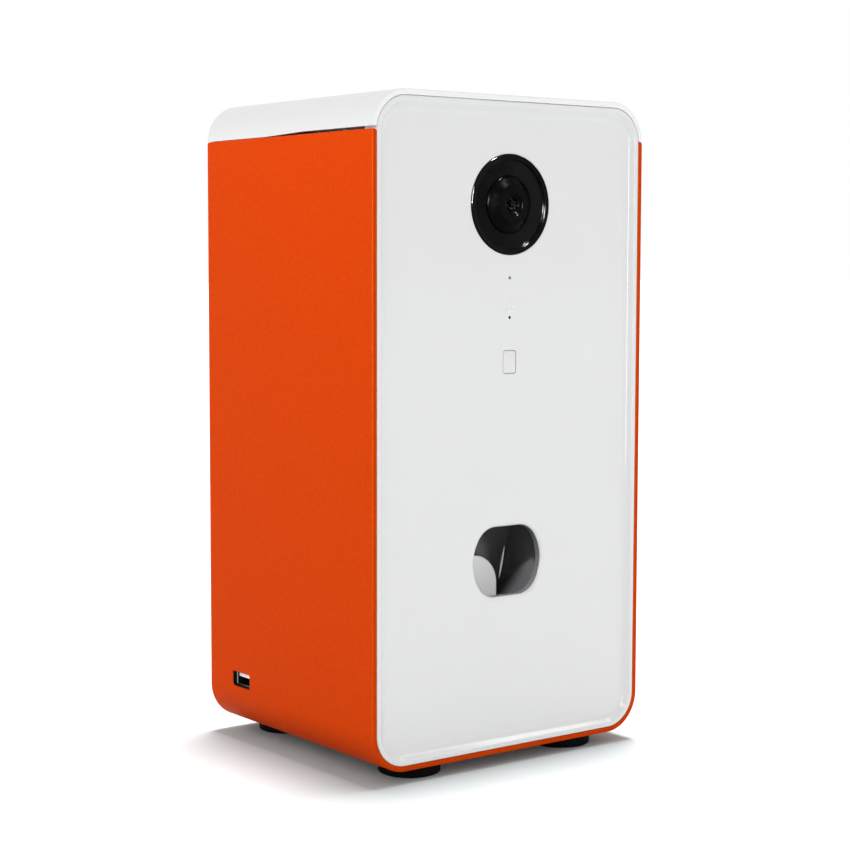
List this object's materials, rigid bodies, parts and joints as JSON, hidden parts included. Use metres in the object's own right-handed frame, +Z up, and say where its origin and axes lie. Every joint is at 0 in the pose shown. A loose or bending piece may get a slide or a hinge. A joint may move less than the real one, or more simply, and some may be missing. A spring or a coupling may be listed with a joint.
{
  "type": "treat tossing pet camera",
  "caption": "Free-standing pet camera with a lift-off lid over a treat hopper, a metering wheel, a swinging launching paddle behind a round outlet, and a side power port.",
  "frame": {"origin": "bottom centre, on the plane that the four feet stand on", "axes": "+Z up along the body's height, -Y out of the front panel with the camera and outlet, +X to the object's own left, seen from the front as the right-hand side"},
  "size_m": [0.139, 0.121, 0.27],
  "materials": {
    "sleeve_orange": "fine spark-eroded texture, matte orange",
    "lid_white": "satin white",
    "seal_silicone": "matt silicone",
    "panel_white": "polished white",
    "rear_white": "satin white",
    "frame_grey": "as moulded",
    "hopper_white": "food-safe, smooth",
    "rotor_orange": "soft moulded vanes",
    "steel": "ground",
    "brass": "machined",
    "gear_cream": "acetal",
    "motor_steel": "zinc plated can",
    "chamber_dark": "semi-gloss dark grey",
    "paddle_grey": "satin light grey",
    "spring_steel": "drawn wire",
    "camera_black": "piano black",
    "barrel_black": "satin black",
    "lens_glass": "coated glass",
    "circuit_board": "solder mask",
    "ribbon_film": "polyimide film",
    "switch_black": "as moulded",
    "led_clear": "moulded epoxy",
    "pipe_clear": "clear moulded",
    "speaker_black": "paper cone and steel basket",
    "port_steel": "bright pressed shell",
    "port_white": "as moulded",
    "foot_rubber": "matt black rubber",
    "screw_steel": "zinc plated"
  },
  "bodies": {
    "body": {"outer_sleeve": "sleeve_orange", "front_panel": "panel_white", "rear_cover": "rear_white", "base_plate": "frame_grey", "frame_left": "frame_grey", "frame_right": "frame_grey", "motor_deck": "frame_grey", "treat_hopper": "hopper_white", "metering_shield": "hopper_white", "metering_tray": "hopper_white", "rotor_bush": "brass", "rotor_motor": "motor_steel", "drop_chute": "chamber_dark", "launch_chamber": "chamber_dark", "paddle_cover": "chamber_dark", "paddle_spring": "spring_steel", "launch_motor": "motor_steel", "camera_bezel": "camera_black", "camera_barrel": "barrel_black", "camera_lens": "lens_glass", "camera_board": "circuit_board", "camera_ribbon": "ribbon_film", "tact_switch": "switch_black", "front_board": "circuit_board", "status_led": "led_clear", "light_pipe": "pipe_clear", "microphone": "steel", "main_board": "circuit_board", "wifi_module": "steel", "speaker": "speaker_black", "usb_shell": "port_steel", "usb_tongue": "port_white", "usb_board": "circuit_board", "rubber_feet": "foot_rubber", "foot_screws": "screw_steel", "panel_screws": "screw_steel", "rear_screws": "screw_steel"},
    "lid": {"top_lid": "lid_white", "lid_seal": "seal_silicone"},
    "button": {"pairing_button": "panel_white"},
    "wheel": {"metering_rotor": "rotor_orange", "rotor_shaft": "steel", "rotor_gear": "gear_cream"},
    "wheel_drive": {"rotor_pinion": "brass"},
    "paddle": {"launch_paddle": "paddle_grey", "paddle_shaft": "steel", "paddle_gear": "gear_cream", "shaft_clips": "spring_steel"},
    "winder": {"winder_pinion": "brass"}
  },
  "joints": [
    {"name": "lid_lift", "type": "slide", "parent": "body", "child": "lid", "axis": [0, 0, 1], "range_m": [0, 0.04]},
    {"name": "button_press", "type": "slide", "parent": "body", "child": "button", "axis": [0, 1, 0], "range_m": [0, 0.0005], "stiffness_N_per_m": 300},
    {"name": "wheel_spin", "type": "hinge", "parent": "body", "child": "wheel", "pos_m": [0, 0.0055, 0.13], "axis": [0, 0, 1], "continuous": true},
    {"name": "wheel_drive_spin", "type": "hinge", "parent": "body", "child": "wheel_drive", "pos_m": [0, 0.0235, 0.12], "axis": [0, 0, 1], "continuous": true},
    {"name": "paddle_swing", "type": "hinge", "parent": "body", "child": "paddle", "pos_m": [0, -0.0344, 0.046], "axis": [-1, 0, 0], "range_deg": [0, 52], "stiffness_Nm_per_rad": 0.02, "deforming": ["paddle_spring"]},
    {"name": "winder_spin", "type": "hinge", "parent": "body", "child": "winder", "pos_m": [0.026, -0.01373, 0.03848], "axis": [-1, 0, 0], "range_deg": [-140, 2]}
  ],
  "couplings": [
    {"joint": "wheel_drive_spin", "follows": "wheel_spin", "ratio": -2},
    {"joint": "winder_spin", "follows": "paddle_swing", "ratio": -2.6667}
  ]
}
